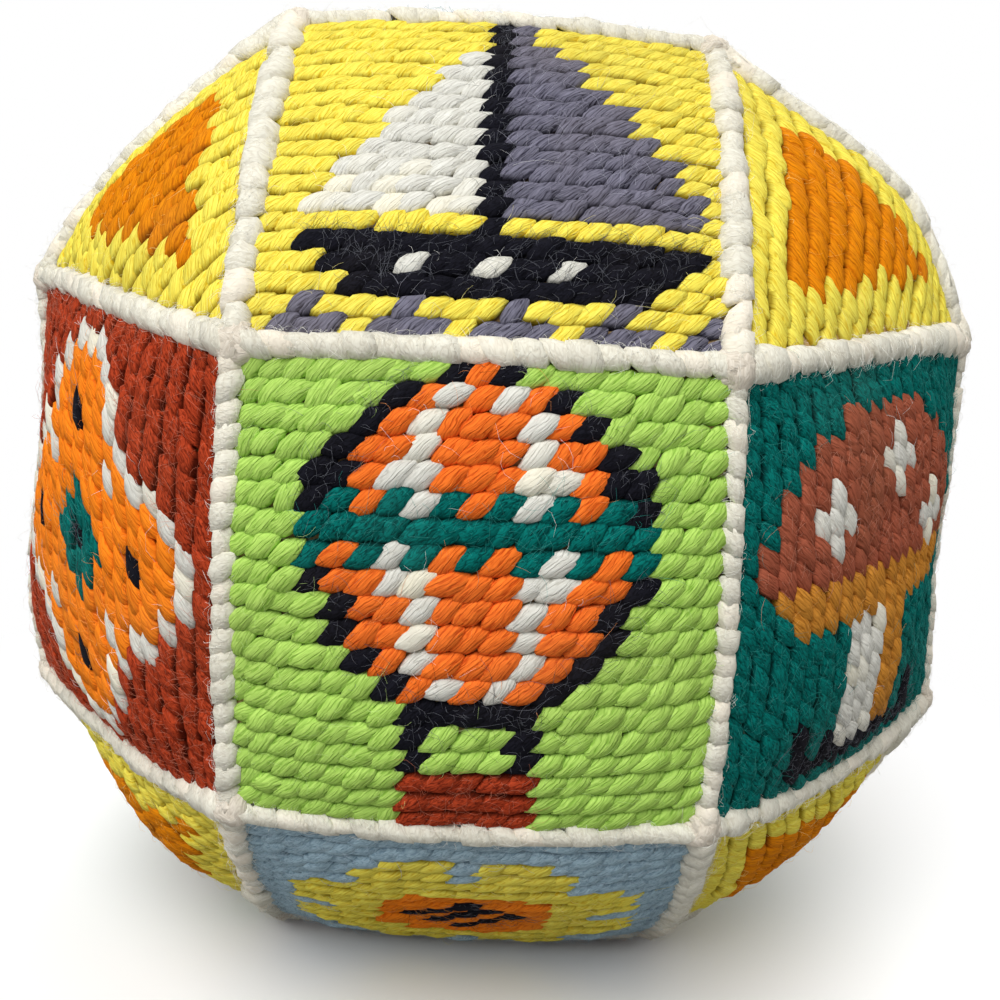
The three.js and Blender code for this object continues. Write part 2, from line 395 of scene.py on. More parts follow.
def yarn_tone(tree, dye, felted):
    """The way along the yarn, its fibres, and a relief that also sets painted highlight and shade.
    """
    way = node(tree, "SeparateXYZ", {0: node(tree, "UVMap", uv_map="yarn").outputs["UV"]}).outputs
    along = way["Y"]
    aslant = maths(tree, "MULTIPLY_ADD", along, twist, way["X"])
    lot = maths(tree, "MULTIPLY", dye, dye_lots)

    def streaks(fine, long, detail):
        stretch = [maths(tree, "MULTIPLY", *pair) for pair in ((aslant, fine), (along, long))]
        place = node(tree, "CombineXYZ", dict(enumerate((*stretch, lot)))).outputs[0]
        look = {"Vector": place, "Scale": 1.0, "Detail": detail, "Distortion": 0.3}
        return node(tree, "TexNoise", look).outputs["Fac"]

    if felted:
        furrow, reach = maths(tree, "SUBTRACT", streaks(9, 6, 1.0), 0.5), 0.1
    else:
        turn = maths(tree, "MULTIPLY", aslant, math.pi / ply_width)
        wander = maths(tree, "MULTIPLY_ADD", streaks(5, 2.0, 2.0), 9.0, turn)
        furrow, reach = maths(tree, "SINE", wander), 0.7
    gap = maths(tree, "ABSOLUTE", furrow)
    ridge = ranged(tree, gap, 0.0, reach, interpolation_type="SMOOTHSTEP")
    fibre = streaks(18, 8, 4.0) if felted else streaks(20, 3.6, 4.0)
    fibre = ranged(tree, fibre, 0.34, 0.64)
    # the relief is also the share of painted highlight against painted shade
    relief_and_highlight = maths(tree, "MULTIPLY_ADD", fibre, 0.5, maths(tree, "MULTIPLY", ridge, 0.5))
    return along, fibre, relief_and_highlight


# %% Wool material
def linear(*rgb):
    parts = np.array(rgb) / 255
    return (*np.where(parts <= 0.04045, parts / 12.92, ((parts + 0.055) / 1.055) ** 2.4), 1.0)


def shade(colour, factor):
    return (*np.minimum(np.array(colour[:3]) * factor, 1.0), 1.0)


def dress(tree, shader, colour, rough, height, strength, depth):
    """Links a colour, a roughness and a relief to a shader."""
    bump = node(tree, "Bump", {"Strength": strength, "Distance": depth, "Height": height})
    links = {"Base Color": colour, "Roughness": rough, "Normal": bump.outputs[0]}
    for socket, value in links.items():
        tree.links.new(value, shader.inputs[socket])


soil = linear(120, 104, 76)
dye_range = 0.1
sheen = {"Specular IOR Level": 0.05, "Sheen Weight": 0.25, "Sheen Roughness": 0.5}


def wool_material(name):
    lit_wool, shaded_wool = (linear(*rgb) for rgb in lit_and_shaded_wools[name])
    felted = name in felted_wools
    relief = (0.09 if "cream" in name else 0.12 if felted else 0.18) * mm
    end_shade_start, stain = end_shade_starts.get(name, usual_end_shade_start), stains.get(name, usual_stain)
    levels = {**sheen, "Sheen Tint": shade(lit_wool, 1.2)}
    made, tree, shader = new_material(f"{name}_wool", levels)
    dye = node(tree, "Attribute", attribute_name="dye").outputs["Fac"]
    along, fibre, relief_and_highlight = yarn_tone(tree, dye, felted)
    # painted shade in the furrows and painted highlight on the ridges and fibres
    colour = mixed(tree, relief_and_highlight, shaded_wool, lit_wool)
    # painted shade where the ends of a stitch go down between its neighbours
    end = maths(tree, "ABSOLUTE", maths(tree, "SUBTRACT", along, 0.5))
    end_shade = ranged(tree, end, end_shade_start, end_shade_start + 0.11, top=0.85)
    colour = mixed(tree, end_shade, colour, shade(shaded_wool, 0.35))
    if name in aged:
        yellowed = ranged(tree, dye, 0.6, 1.0, top=0.65)
        colour = mixed(tree, yellowed, colour, linear(*aged[name]))
    place = node(tree, "TexCoord").outputs["Object"]
    patch = node(tree, "TexNoise", {"Vector": place, "Scale": 38.0, "Detail": 2.0}).outputs["Fac"]
    colour = mixed(tree, ranged(tree, patch, 0.5, 0.8, top=stain), colour, soil)
    value = maths(tree, "MULTIPLY_ADD", dye, dye_range, 1 - dye_range / 2)
    colour = node(tree, "HueSaturation", {"Value": value, "Color": colour}).outputs[0]
    rough = maths(tree, "MULTIPLY_ADD", fibre, 0.2, 0.78)
    dress(tree, shader, colour, rough, relief_and_highlight, 0.8, relief)
    return made


wools = {name: wool_material(name) for name in lit_and_shaded_wools}
print(len(wools), "wools dyed")

# %% [markdown]
# ## One stitch
# A tent stitch is a short slanting length of yarn over one crossing of the canvas. It comes up at
# its lower left, lies plump over the crossing and goes down at its upper right. It could be a curve
# with a bevel, but a sphere drawn out to a grain has closed ends and a UV map round and along the
# yarn, and its rings can be fattened and pushed down into the holes one by one. The grain is made
# upright and then leaned over, so that its ends lie along the row and a row looks like one rope.

# %% Helpers for meshes
def numbers(items, key, width):
    values = np.empty(len(items) * width, np.float32)
    items.foreach_get(key, values)
    return values.reshape(-1, width).astype(float)


def put(items, key, values):
    items.foreach_set(key, np.asarray(values, np.float32).ravel())


# %% A grain of yarn
def switch_to(mode):
    bpy.ops.object.mode_set(mode=mode)


def pick(obj, test):
    """Selects, in edit mode, the points of an object that pass the test."""
    mesh = bmesh.from_edit_mesh(obj.data)
    for point in mesh.verts:
        point.select_set(bool(test(point.co)))
    mesh.select_flush(True)
    bmesh.update_edit_mesh(obj.data)


plumpness, ring_gap = 1.17, 0.06
yarn_map_size = 6 * mm


def yarn_grain(name, size, half_rings):
    """Grain of yarn along X; rings are (place along, fatness, drop) from one end to the middle."""
    bpy.ops.mesh.primitive_uv_sphere_add(segments=8, ring_count=7, rotation=(0, math.pi / 2, 0))
    grain = bpy.context.object
    grain.name = name
    bpy.ops.object.transform_apply(rotation=True)
    switch_to("EDIT")
    bpy.ops.mesh.select_mode(type="VERT")
    # the points off both axes move out, so that the yarn's section is plump
    pick(grain, lambda point: abs(point.y) > 0.1 and abs(point.z) > 0.1)
    bpy.ops.transform.resize(value=(1, plumpness, plumpness), center_override=(0, 0, 0))
    rings = [(end * place, *look) for end in (-1, 1) for place, *look in half_rings]
    for place, fatness, drop in rings:
        pick(grain, lambda point: abs(point.x - place) < ring_gap)
        bpy.ops.transform.resize(value=(1, fatness, fatness), center_override=(place, 0, 0))
        bpy.ops.transform.translate(value=(0, 0, -drop))
    bpy.ops.mesh.select_all(action="SELECT")
    bpy.ops.transform.resize(value=size, center_override=(0, 0, 0))
    switch_to("OBJECT")
    bpy.ops.object.shade_smooth()
    grain.data.uv_layers[0].name = "OFBake"
    corner = [loop.vertex_index for loop in grain.data.loops]
    plan = numbers(grain.data.vertices, "co", 3)[corner]
    yarn = grain.data.uv_layers.new(name="yarn")
    put(yarn.data, "uv", plan[:, 1::-1] / yarn_map_size + 0.5)
    yarn.active_render = True
    grain.data.uv_layers.active = yarn
    return grain


stitch_rings = ((1.0, 1.0, 0.8), (0.9, 1.24, 0.4), (0.62, 1.09, 0.08), (0.22, 1.02, 0.0))
stitch_height, stitch_lean = 1.08 * mm, 0.68
stitch = yarn_grain("stitch", (2.38 * mm, 2.35 * mm, stitch_height), stitch_rings)
stitch.rotation_euler = (0, 0, math.pi / 2)
bpy.ops.object.transform_apply(rotation=True)
stitch.data.transform(Matrix(((1, stitch_lean, 0, 0), (0, 1, 0, 0), (0, 0, 1, 0), (0, 0, 0, 1))))
print("a stitch has", len(stitch.data.polygons), "faces")

# %% [markdown]
# ## A flat piece of work
# A panel is 19 rows of 19 such stitches. Two Array modifiers repeat the one stitch along a row and
# then the row up the canvas. They also shift the UV maps, so a second map gives every stitch a
# small square of its own, for a picture of the finish to be baked in.

# %% Flat work
cell_share, cell_margin = 0.9, 0.05


def bake_map(obj):
    """The map for the bake, drawn in a little, so that neighbouring cells don't run together."""
    return numbers(obj.data.uv_layers["OFBake"].data, "uv", 2) * cell_share + cell_margin


stitch_points = len(stitch.data.vertices)
worked_pitch = 3.74 * mm
stitch_yarn = numbers(stitch.data.uv_layers["yarn"].data, "uv", 2)
put(stitch.data.uv_layers["OFBake"].data, "uv", bake_map(stitch) / per_side)
for axis in (0, 1):
    array = stitch.modifiers.new("repeat", "ARRAY")
    array.count = per_side
    array.use_relative_offset = False
    array.use_constant_offset = True
    array.constant_offset_displace = [worked_pitch if k == axis else 0 for k in range(3)]
    array.offset_u, array.offset_v = [1 / per_side if k == axis else 0 for k in range(2)]
    bpy.ops.object.modifier_apply(modifier=array.name)
flat_work = stitch
flat_work.name = "flat_work"
put(flat_work.data.uv_layers["yarn"].data, "uv", np.tile(stitch_yarn, (per_side**2, 1)))
shift = -(per_side - 1) / 2 * worked_pitch
flat_places = numbers(flat_work.data.vertices, "co", 3) + (shift, shift, -stitch_height)
columns, rows = np.meshgrid(np.arange(per_side), np.arange(per_side))
stitch_middles = np.stack((columns.ravel(), rows.ravel()), 1) * worked_pitch + shift
print(per_side**2, "stitches worked flat")

# %% [markdown]
# ## Pictures
# Each panel carries a simple generic picture, drawn stitch by stitch in a few wools on its ground.
# Shapes such as discs, ovals, diamonds and bars are tests on the place of a stitch, counted from
# the middle of the panel, and a picture is a list of wools with the shape that each one fills.

# %% Shapes on the canvas
X, Y = columns - per_side // 2, rows - per_side // 2
wide = np.abs(X)


def disc(x, y, radius):
    return np.hypot(X - x, Y - y) <= radius


def oval(x, y, across, along, turn=0):
    c, s = math.cos(math.radians(turn)), math.sin(math.radians(turn))
    a = ((X - x) * c + (Y - y) * s) / across
    b = ((Y - y) * c - (X - x) * s) / along
    return a * a + b * b <= 1


def diamond(x, y, across, along):
    return np.abs(X - x) / across + np.abs(Y - y) / along <= 1


def bar(left, right, low, high):
    return (X >= left) & (X <= right) & (Y >= low) & (Y <= high)


def pair(draw, x, *rest):
    return draw(x, *rest) | draw(-x, *rest)


def edging(shape):
    more = np.pad(shape, 1)
    near = more[:-2, 1:-1] | more[2:, 1:-1] | more[1:-1, :-2] | more[1:-1, 2:]
    return near & ~shape


def ring_of(draw, count, reach, size, y=0, turn=0):
    shape = np.zeros(X.shape, bool)
    for angle in np.radians(np.arange(count) * 360 / count + turn):
        shape |= draw(reach * math.cos(angle), y + reach * math.sin(angle), size)
    return shape


# %% Pictures that the photographed side shows
def balloon():
    width = np.where(Y >= 1, np.sqrt(np.maximum(45 - (Y - 2.4) ** 2, 0)), 6.6 - (1 - Y) * 0.8)
    bag = (Y >= -4) & (wide <= width)
    gore = wide / np.maximum(width, 1)
    yield "orange", bag
    yield "white", bag & (gore > 0.24) & (gore <= 0.5)
    yield "black", bag & (gore > 0.8)
    yield "teal", bag & ((Y == 3 + X % 2) | (Y == 2 + X % 2))
    yield "black", bar(-2, 2, -6, -5) & (wide == 2)
    yield "rust", bar(-2, 2, -9, -7)
    yield "black", bar(-2, 2, -4, -4)


def boat():
    yield "grey", (X >= 1) & (Y >= -3) & (X - 1 <= (9.4 - Y) * 0.64)
    yield "white", (X <= -1) & (Y >= -3) & (-1 - X <= (6.6 - Y) * 0.66)
    yield "black", bar(0, 0, -4, 9)
    yield "black", (Y <= -5) & (Y >= -7) & (np.abs(X - 0.5) <= 8 + (Y + 5))
    yield "white", (Y == -6) & (wide % 3 == 0) & (wide < 6)
    yield "grey", ((Y == -9) & (X % 4 < 3)) | ((Y == -8) & (X % 4 == 1))


def flower():
    petals = ring_of(disc, 4, 4.2, 3.1)
    yield "bright_orange", petals
    yield "white", edging(petals)
    yield "bright_orange", disc(0, 0, 3)
    yield "teal", diamond(0, 0, 2.2, 2.2)
    yield "black", ring_of(disc, 4, 5, 0.5) | disc(0, 0, 0.5)


def mushroom():
    yield "pink_brown", oval(0, 0.5, 8.2, 7.2) & (Y >= 1)
    yield "white", disc(-4, 3, 1.2) | disc(1, 5, 1.2) | disc(5, 2, 1)
    yield "ochre", bar(-7, 7, -1, 0) & (wide <= 7 + Y)
    yield "white", bar(-2, 0, -7, -2)
    yield "ochre", bar(1, 2, -7, -2)
    blades = bar(-5, -5, -7, -6) | bar(4, 4, -7, -6) | bar(-3, -3, -7, -7)
    yield "black", bar(-5, 5, -8, -8) | blades


def sunflower():
    yield "yellow", ring_of(disc, 8, 5.4, 2.3, turn=22.5) | disc(0, 0, 5)
    yield "bright_orange", disc(0, 0, 3.7)
    yield "black", disc(0, 0, 2.3) & ((X + Y) % 2 == 0)


# %% Pictures on the other squares
def pinwheel():
    sails = np.maximum(wide, np.abs(Y)) <= 6
    yield "black", bar(0, 0, -9, 0)
    yield "orange", sails & (((Y >= 0) & (Y < X)) | ((Y <= 0) & (Y > X)))
    yield "white", sails & (((X <= 0) & (-X < Y)) | ((X >= 0) & (X < -Y)))
    yield "teal", diamond(0, 0, 1, 1)


def moon():
    yield "yellow", disc(-1, 0, 6.6) & ~disc(2.2, 1.4, 5.8)
    yield "white", diamond(4, 3, 1.6, 1.6) | diamond(5, -4, 1, 1) | pair(diamond, 6, 7, 1, 1)


def diamonds():
    reaches = {"orange": 8, "white": 6.4, "teal": 5, "yellow": 3, "black": 1}
    for wool, reach in reaches.items():
        yield wool, diamond(0, 0, reach, reach)


def kite():
    sail = diamond(0, 3, 5.4, 6)
    yield "yellow", sail
    yield "orange", sail & ((X > 0) == (Y > 3))
    yield "white", sail & ((X == 0) | (Y == 3))
    yield "white", (Y < -3) & (X == np.round(np.sin(Y * 1.1)))
    yield "bright_orange", (wide <= 2) & (wide > 0) & ((Y == -6) | (Y == -9))


def daisy():
    yield "lime", bar(0, 0, -9, 0) | oval(3, -6, 3, 1.5, 30) | oval(-3, -6, 3, 1.5, -30)
    yield "white", ring_of(disc, 8, 4.6, 1.6, y=2)
    yield "yellow", disc(0, 2, 2.6)


def fruit_tree():
    yield "pink_brown", bar(-1, 1, -8, -2)
    yield "teal", disc(0, 3, 5.6) | pair(disc, 4, 0, 3)
    yield "orange", disc(-3, 2, 0.9) | disc(2, 5, 0.9) | disc(3, 0, 0.9) | disc(-1, -1, 0.9)
    yield "lime", bar(-7, 7, -9, -9)


def house():
    yield "white", bar(-5, 5, -7, 1)
    yield "rust", bar(4, 5, 4, 8) | ((Y >= 1) & (wide <= 8 - (Y - 1) * 1.2))
    yield "black", bar(-1, 1, -7, -3)
    yield "yellow", bar(-4, -3, -2, -1) | bar(3, 4, -2, -1)
    yield "lime", Y <= -8


def heart():
    whole = pair(disc, 3.1, 2.6, 3.7) | ((Y <= 2) & (wide + (2 - Y) * 0.86 <= 6.7))
    yield "orange", whole
    yield "white", edging(whole)
    yield "yellow", disc(-3, 3, 1)


def rainbow():
    arcs = {"rust": 8.6, "bright_orange": 7.3, "yellow": 6, "lime": 4.6, "sky": 3.3}
    for wool, reach in arcs.items():
        yield wool, disc(0, -4, reach) & (Y >= -4)
    yield "white", pair(disc, 6, -5, 2.1) | pair(disc, 7.5, -4.5, 1.5)


def tulip():
    cup = oval(0, 3.5, 4.6, 4.6) & (Y <= 5)
    cup |= bar(-4, 4, 5, 7) & (wide % 4 != 2) | bar(-4, 4, 8, 8) & (wide % 4 == 0)
    yield "teal", bar(0, 0, -9, 0) | oval(3, -5, 1.4, 4, -30) | oval(-3, -5, 1.4, 4, 30)
    yield "rust", cup
    yield "orange", cup & (wide <= 1) & (Y <= 6)


def apple():
    yield "rust", pair(disc, 2.4, -1.2, 4.4) | oval(0, -3.4, 5.2, 3.6)
    yield "white", disc(-4, 1, 0.9)
    yield "black", bar(0, 0, 2, 6)
    yield "lime", oval(3, 6, 3, 1.6, 25)


def cherries():
    stalks = (np.abs(X + 4 - (Y + 3) * 0.42) < 0.6) | (np.abs(X - 4 + (Y + 3) * 0.3) < 0.6)
    yield "black", stalks & (Y > -3) & (Y < 8)
    yield "rust", pair(disc, 4, -4, 3.2)
    yield "white", disc(-5, -3, 0.6) | disc(3, -3, 0.6)
    yield "teal", oval(4.5, 6.5, 3.4, 1.8, 15)


def leaf():
    blade = oval(0, 1, 4.4, 8, -35)
    yield "teal", blade
    yield "lime", blade & ((X == Y - 1) | ((np.abs(X - Y + 1) % 4 == 0) & (X > Y - 1)))
    yield "black", (X == Y + 1) & (Y < -4) & (Y > -9)


# %% Ground and picture of each square
panel_work = {
    "front": ("lime", balloon), "upper_front": ("yellow", boat),
    "front_left": ("rust", flower), "front_right": ("teal", mushroom),
    "lower_front": ("sky", sunflower), "back": ("lime", pinwheel),
    "top": ("teal", moon), "bottom": ("rust", diamonds),
    "left": ("teal", kite), "right": ("rust", daisy),
    "back_left": ("yellow", fruit_tree), "back_right": ("sky", house),
    "upper_back": ("sky", heart), "lower_back": ("yellow", apple),
    "upper_left": ("sky", rainbow), "upper_right": ("lime", tulip),
    "lower_left": ("lime", cherries), "lower_right": ("yellow", leaf),
}
turned_panels = {"front_left", "front_right", "back_left", "back_right"}


def chart_of(name):
    ground, picture = panel_work[name]
    chart = np.full(X.shape, ground, object)
    for wool, where in picture():
        chart[where] = wool
    if name in turned_panels:
        chart = np.rot90(chart, 1)
    return chart.ravel()


print(len(panel_work), "pictures charted")

# %% [markdown]
# ## Loose fibres
# Handled wool grows a fuzz: fine fibres that stand out of the yarn and lie across it, most on the
# black, rust, teal and pale blue wool. Hair curves would look right but can't be exported, so each
# fibre is a thin three-sided thread with a bend in it. The loose fibre, or lint, of a wool is
# painted paler than its yarn, a painted highlight of fibres that catch the light. On the black,
# part of the lint is painted grey as that highlight and the rest is a dark hair of black's own
# colour.

# %% Lint of each wool
# lint paler than its wool is painted highlight; black's grey lint too, dark_hair is black's own
lint_colours = {
    "lime": (206, 236, 150), "yellow": (250, 240, 160), "rust": (202, 122, 98),
    "teal": (60, 150, 142), "sky": (196, 214, 226), "orange": (250, 160, 96),
    "bright_orange": (252, 172, 88), "amber": (250, 196, 100), "grey": (172, 172, 184),
    "black": (112, 114, 122), "white": (248, 248, 244), "pink_brown": (204, 140, 116),
    "ochre": (226, 176, 104), "cream": (250, 249, 240), "dark_hair": (22, 22, 26),
}
lint = {}
for name, colour in lint_colours.items():
    look = {"Base Color": linear(*colour), "Roughness": 0.8, "Specular IOR Level": 0.05}
    lint[name], _, _ = new_material(f"{name}_lint", look)
print(len(lint), "kinds of lint")


# %% Threads from paths
def mesh_of_many(name, points, shape, count):
    """One smooth mesh of many like shapes, from all their points and the faces of the first."""
    step = len(points) // count
    faces = [[k * step + p for p in face] for k in range(count) for face in shape]
    mesh = bpy.data.meshes.new(name)
    mesh.from_pydata(points.tolist(), [], faces)
    mesh.polygons.foreach_set("use_smooth", np.ones(len(faces), bool))
    return mesh


def give_materials(mesh, choice, names):
    """Gives each equal run of a mesh's faces the material that is named for it."""
    used = sorted(set(names))
    for name in used:
        mesh.materials.append(choice[name])
    index = np.array([used.index(name) for name in names], np.int32)
    mesh.polygons.foreach_set("material_index", index.repeat(len(mesh.polygons) // len(names)))


fibre_radius, tip_share = 0.028 * mm, 0.45


def thread_mesh(name, paths, lint_of):
    """One mesh of thin closed threads along paths, with the lint of each thread."""
    count, steps, _ = paths.shape
    paths = np.maximum(paths, (-math.inf, -math.inf, fibre_radius))
    along = unit(np.gradient(paths, axis=1))
    away = unit(np.cross(along, (0.36, 0.48, 0.8)))
    other = np.cross(along, away)
    taper = np.linspace(1.0, tip_share, steps)[None, :, None] * fibre_radius
    sides = [2 * math.pi * k / 3 for k in range(3)]
    rings = [paths + taper * (math.cos(a) * away + math.sin(a) * other) for a in sides]
    quads = [[3 * s + k, 3 * s + (k + 1) % 3, 3 * s + 3 + (k + 1) % 3, 3 * s + 3 + k]
             for s in range(steps - 1) for k in range(3)]
    thread = quads + [[2, 1, 0], [3 * steps - 3, 3 * steps - 2, 3 * steps - 1]]
    mesh = mesh_of_many(name, np.stack(rings, 2).reshape(-1, 3), thread, count)
    give_materials(mesh, lint, lint_of)
    return add_object(name, mesh)


# %% Fibres that leave the yarn
fuzz_count = {
    "black": 22, "rust": 9, "teal": 8, "sky": 7, "white": 3,
    "grey": 3, "pink_brown": 5, "bright_orange": 2,
}
usual_fuzz, dark_share = 1, 0.4
fibre_bends, bend_spread, heading_spread = 3, 1.4, 0.9
root_spread, root_depth = 0.28 * pitch, 0.3 * mm


def bent_fibres(roots, lean, base, random):
    """Bent paths from flat places on the yarn, about 2.5 mm long and up to 0.4 mm off it."""
    count = len(roots)
    heading = random.normal(lean, heading_spread, count)
    length = random.gamma(4.0, 0.62, count) * mm
    bend = random.normal(0, bend_spread, count)
    lift = random.gamma(1.6, 0.24, count) * mm
    t = np.linspace(0, 1, fibre_bends + 1)
    angle = heading[:, None] + bend[:, None] * t
    step = length[:, None] / fibre_bends
    x = roots[:, :1] + np.cumsum(np.cos(angle) * step, 1)
    y = roots[:, 1:] + np.cumsum(np.sin(angle) * step, 1)
    z = base + lift[:, None] * np.sin(np.pi * 0.8 * t) - root_depth * (1 - t)
    return np.stack((x, y, z), 2)


def turned_by(places, angle):
    c, s = np.cos(angle), np.sin(angle)
    x, y, z = places.T
    return np.stack((x * c - y * s, x * s + y * c, z), 1)


def add_fuzz(name, face, middles, wool_of, turn, random):
    """Loose fibres over the stitches of a panel, laid on its face."""
    wanted = np.array([fuzz_count.get(wool, usual_fuzz) for wool in wool_of])
    owner = np.repeat(np.arange(len(middles)), random.poisson(wanted))
    roots = middles[owner] + random.normal(0, root_spread, (len(owner), 2))
    lint_of = np.asarray(wool_of, object)[owner]
    # part of the black lint is its own dark colour, the rest keeps the grey painted highlight
    lint_of[(lint_of == "black") & (random.random(len(owner)) < dark_share)] = "dark_hair"
    paths = bent_fibres(roots, math.radians(50), 0, random)
    laid = lay_on_ball(face, turned_by(paths.reshape(-1, 3), turn))
    return thread_mesh(name, laid.reshape(paths.shape), lint_of)


# %% [markdown]
# ## Panels
# Every panel is a copy of the flat work. Each stitch is nudged a little, as hand work never lies
# quite even, takes the wool of its picture and is laid on the ball. Under it lies the canvas, a
# sheet stretched over the stuffing, which shows as brown specks in the holes between stitches.

# %% Canvas material
canvas_material, tree, shader = new_material("tan_canvas", {"Specular IOR Level": 0.2})
weave_map = node(tree, "UVMap", uv_map="weave").outputs["UV"]
weave = {"Vector": weave_map, "Scale": 6.0, "Distortion": 0.6}
waves = [node(tree, "TexWave", weave, bands_direction=way).outputs["Fac"] for way in "XY"]
threads = maths(tree, "MAXIMUM", *waves)
colour = mixed(tree, threads, linear(120, 90, 56), linear(196, 164, 112))
rough = maths(tree, "MULTIPLY_ADD", threads, -0.1, 0.95)
dress(tree, shader, colour, rough, threads, 0.6, 0.3 * mm)

# %% Pieces from copies
body = "root"
fluff = {"black": 1.04, "sky": 1.02}
turn_spread, size_spread = 0.1, 0.04
slip_spread, wool_spread = 0.17 * mm, 0.07 * mm


def copy_of(obj, name):
    made = add_object(name, obj.data.copy())
    made.data.name = name
    return made


def nudged(places, middles, wool_of, random):
    """Stitches turned, sized, shifted and lifted a little, each on its own; some are fluffier."""
    count = len(middles)
    turn = random.normal(0, turn_spread, count).repeat(stitch_points)
    plump = np.array([fluff.get(wool, 1.0) for wool in wool_of])[:, None]
    size = (plump + random.normal(0, size_spread, (count, 2))).repeat(stitch_points, 0)
    slip = random.normal(0, slip_spread, (count, 3)).repeat(stitch_points, 0)
    middle = middles.repeat(stitch_points, 0)
    moved = places.copy()
    moved[:, :2] = (places[:, :2] - middle) * size
    moved = turned_by(moved, turn)
    moved[:, :2] += middle
    return moved + slip + random.normal(0, wool_spread, places.shape)


def dye_stitches(obj, wool_of, random):
    give_materials(obj.data, wools, wool_of)
    dye = obj.data.attributes.new("dye", "FLOAT", "POINT")
    points = len(obj.data.vertices) // len(wool_of)
    put(dye.data, "value", random.random(len(wool_of)).repeat(points))


# %% Canvas cut for a square and a triangle
canvas_depth, canvas_thickness = 1.9 * mm, 0.5 * mm
turn_in, triangle_trim = 1.3 * mm, 1.2 * mm
hem_width, hem_rise = 5 * mm, 1 * mm
canvas_side = edge - 2 * turn_in
canvas_reach = canvas_side / math.sqrt(3) - triangle_trim


def thickened(name):
    """The flat canvas that was added last, made as thick as its threads."""
    made = bpy.context.object
    made.name = name
    made.data.uv_layers[0].name = "weave"
    solid = made.modifiers.new("thickness", "SOLIDIFY")
    solid.thickness = canvas_thickness
    bpy.ops.object.modifier_apply(modifier=solid.name)
    bpy.ops.object.shade_smooth_by_angle(angle=math.radians(40))
    made.data.materials.append(canvas_material)
    return made


bpy.ops.mesh.primitive_grid_add(x_subdivisions=20, y_subdivisions=20, size=canvas_side)
square_canvas = thickened("square_canvas")
bpy.ops.mesh.primitive_circle_add(vertices=3, radius=canvas_reach, fill_type="NGON", calc_uvs=True)
switch_to("EDIT")
bpy.ops.mesh.subdivide(number_cuts=11)
switch_to("OBJECT")
triangle_canvas = thickened("triangle_canvas")
print("canvas", round(canvas_side / mm, 1), "mm square")


# %% A panel
def lay_canvas(name, face, pattern, gaps_of):
    """Canvas under the stitches, lifted near the seams, where it is turned in and double."""
    canvas = copy_of(pattern, f"{name}_canvas")
    work = numbers(canvas.data.vertices, "co", 3)
    hem = np.clip(1 - gaps_of(work) / hem_width, 0, 1)
    work[:, 2] += hem * hem_rise - canvas_depth
    put(canvas.data.vertices, "co", lay_on_ball(face, work))
    return canvas


def add_panel(name, node_name, face, cut, wool_of, turn, random):
    """Stitches, loose fibres and canvas of a panel, laid on its face."""
    stitches = copy_of(cut["work"], f"{name}_stitches")
    dye_stitches(stitches, wool_of, random)
    work = cut["settle"](nudged(cut["places"], cut["middles"], wool_of, random))
    put(stitches.data.vertices, "co", lay_on_ball(face, turned_by(work, turn)))
    fuzz = add_fuzz(f"{name}_fuzz", face, cut["middles"], wool_of, turn, random)
    canvas = lay_canvas(name, face, cut["canvas"], cut["gaps"])
    for piece in (stitches, canvas, fuzz):
        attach(piece, body)
    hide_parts(node_name)
    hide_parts(node_name)


# %% Squares
square_cut = {
    "work": flat_work, "places": flat_places, "middles": stitch_middles,
    "canvas": square_canvas, "flat": (canvas_side, canvas_side), "area": None,
    "gaps": lambda at: half - np.abs(at[:, :2]).max(1), "settle": lambda work: work,
}
for number, face in enumerate(squares):
    name = face["name"]
    random = np.random.default_rng(100 + number)
    ground, wool_of = panel_work[name][0], chart_of(name)
    turn = math.pi / 2 if name in turned_panels else 0
    add_panel(name, f"{name}_panel", face, square_cut, wool_of, turn, random)
print(len(squares), "squares laid")

# %% [markdown]
# ## Triangles
# The triangles are worked on the same canvas, their rows along one side, and those on the left are
# sewn in with another side up. Stitches outside the triangle are deleted, and those that cross its
# edge are drawn in under the seam. An orange triangle sits inside the yellow one.

# %% Work for a triangle
def edge_gaps(places):
    """Distance in from the three fold lines, and the inward directions."""
    inward = np.array([(math.sin(a), math.cos(a)) for a in np.radians((0, 120, 240))])
    return places[:, :2] @ inward.T + inradius, inward


overlap, yellow_border = 0.1 * pitch, 2.2 * pitch
first_row = -inradius + inset + worked_pitch / 2
triangle_middles = stitch_middles + (0, first_row - shift)
gaps, _ = edge_gaps(triangle_middles)
kept = gaps.min(1) > inset - overlap
triangle_wool = np.where(gaps.min(1) > inset + yellow_border, "amber", "yellow")[kept]
triangle_places = flat_places + (0, first_row - shift, 0)
triangle_work = copy_of(flat_work, "triangle_work")


def select_only(obj):
    bpy.ops.object.select_all(action="DESELECT")
    obj.select_set(True)
    bpy.context.view_layer.objects.active = obj


select_only(triangle_work)
dropped = (~kept).repeat(stitch_points)
switch_to("EDIT")
bpy.ops.mesh.select_all(action="DESELECT")
switch_to("OBJECT")
triangle_work.data.vertices.foreach_set("select", dropped)
switch_to("EDIT")
bpy.ops.mesh.delete(type="VERT")
switch_to("OBJECT")
triangle_places = triangle_places[~dropped]
triangle_middles = triangle_middles[kept]
print(kept.sum(), "stitches in a triangle")


# %% Triangles laid
drawn_reach, drawn_depth = 1.9 * mm, 0.6 * mm


def drawn_in(work):
    """Moves what lies beyond the panel's edge in under the seam."""
    gaps, inward = edge_gaps(work)
    short = np.maximum(drawn_reach - gaps, 0)
    work[:, :2] += short @ inward
    work[:, 2] -= np.minimum(short.sum(1) * 0.5, drawn_depth)
    return work


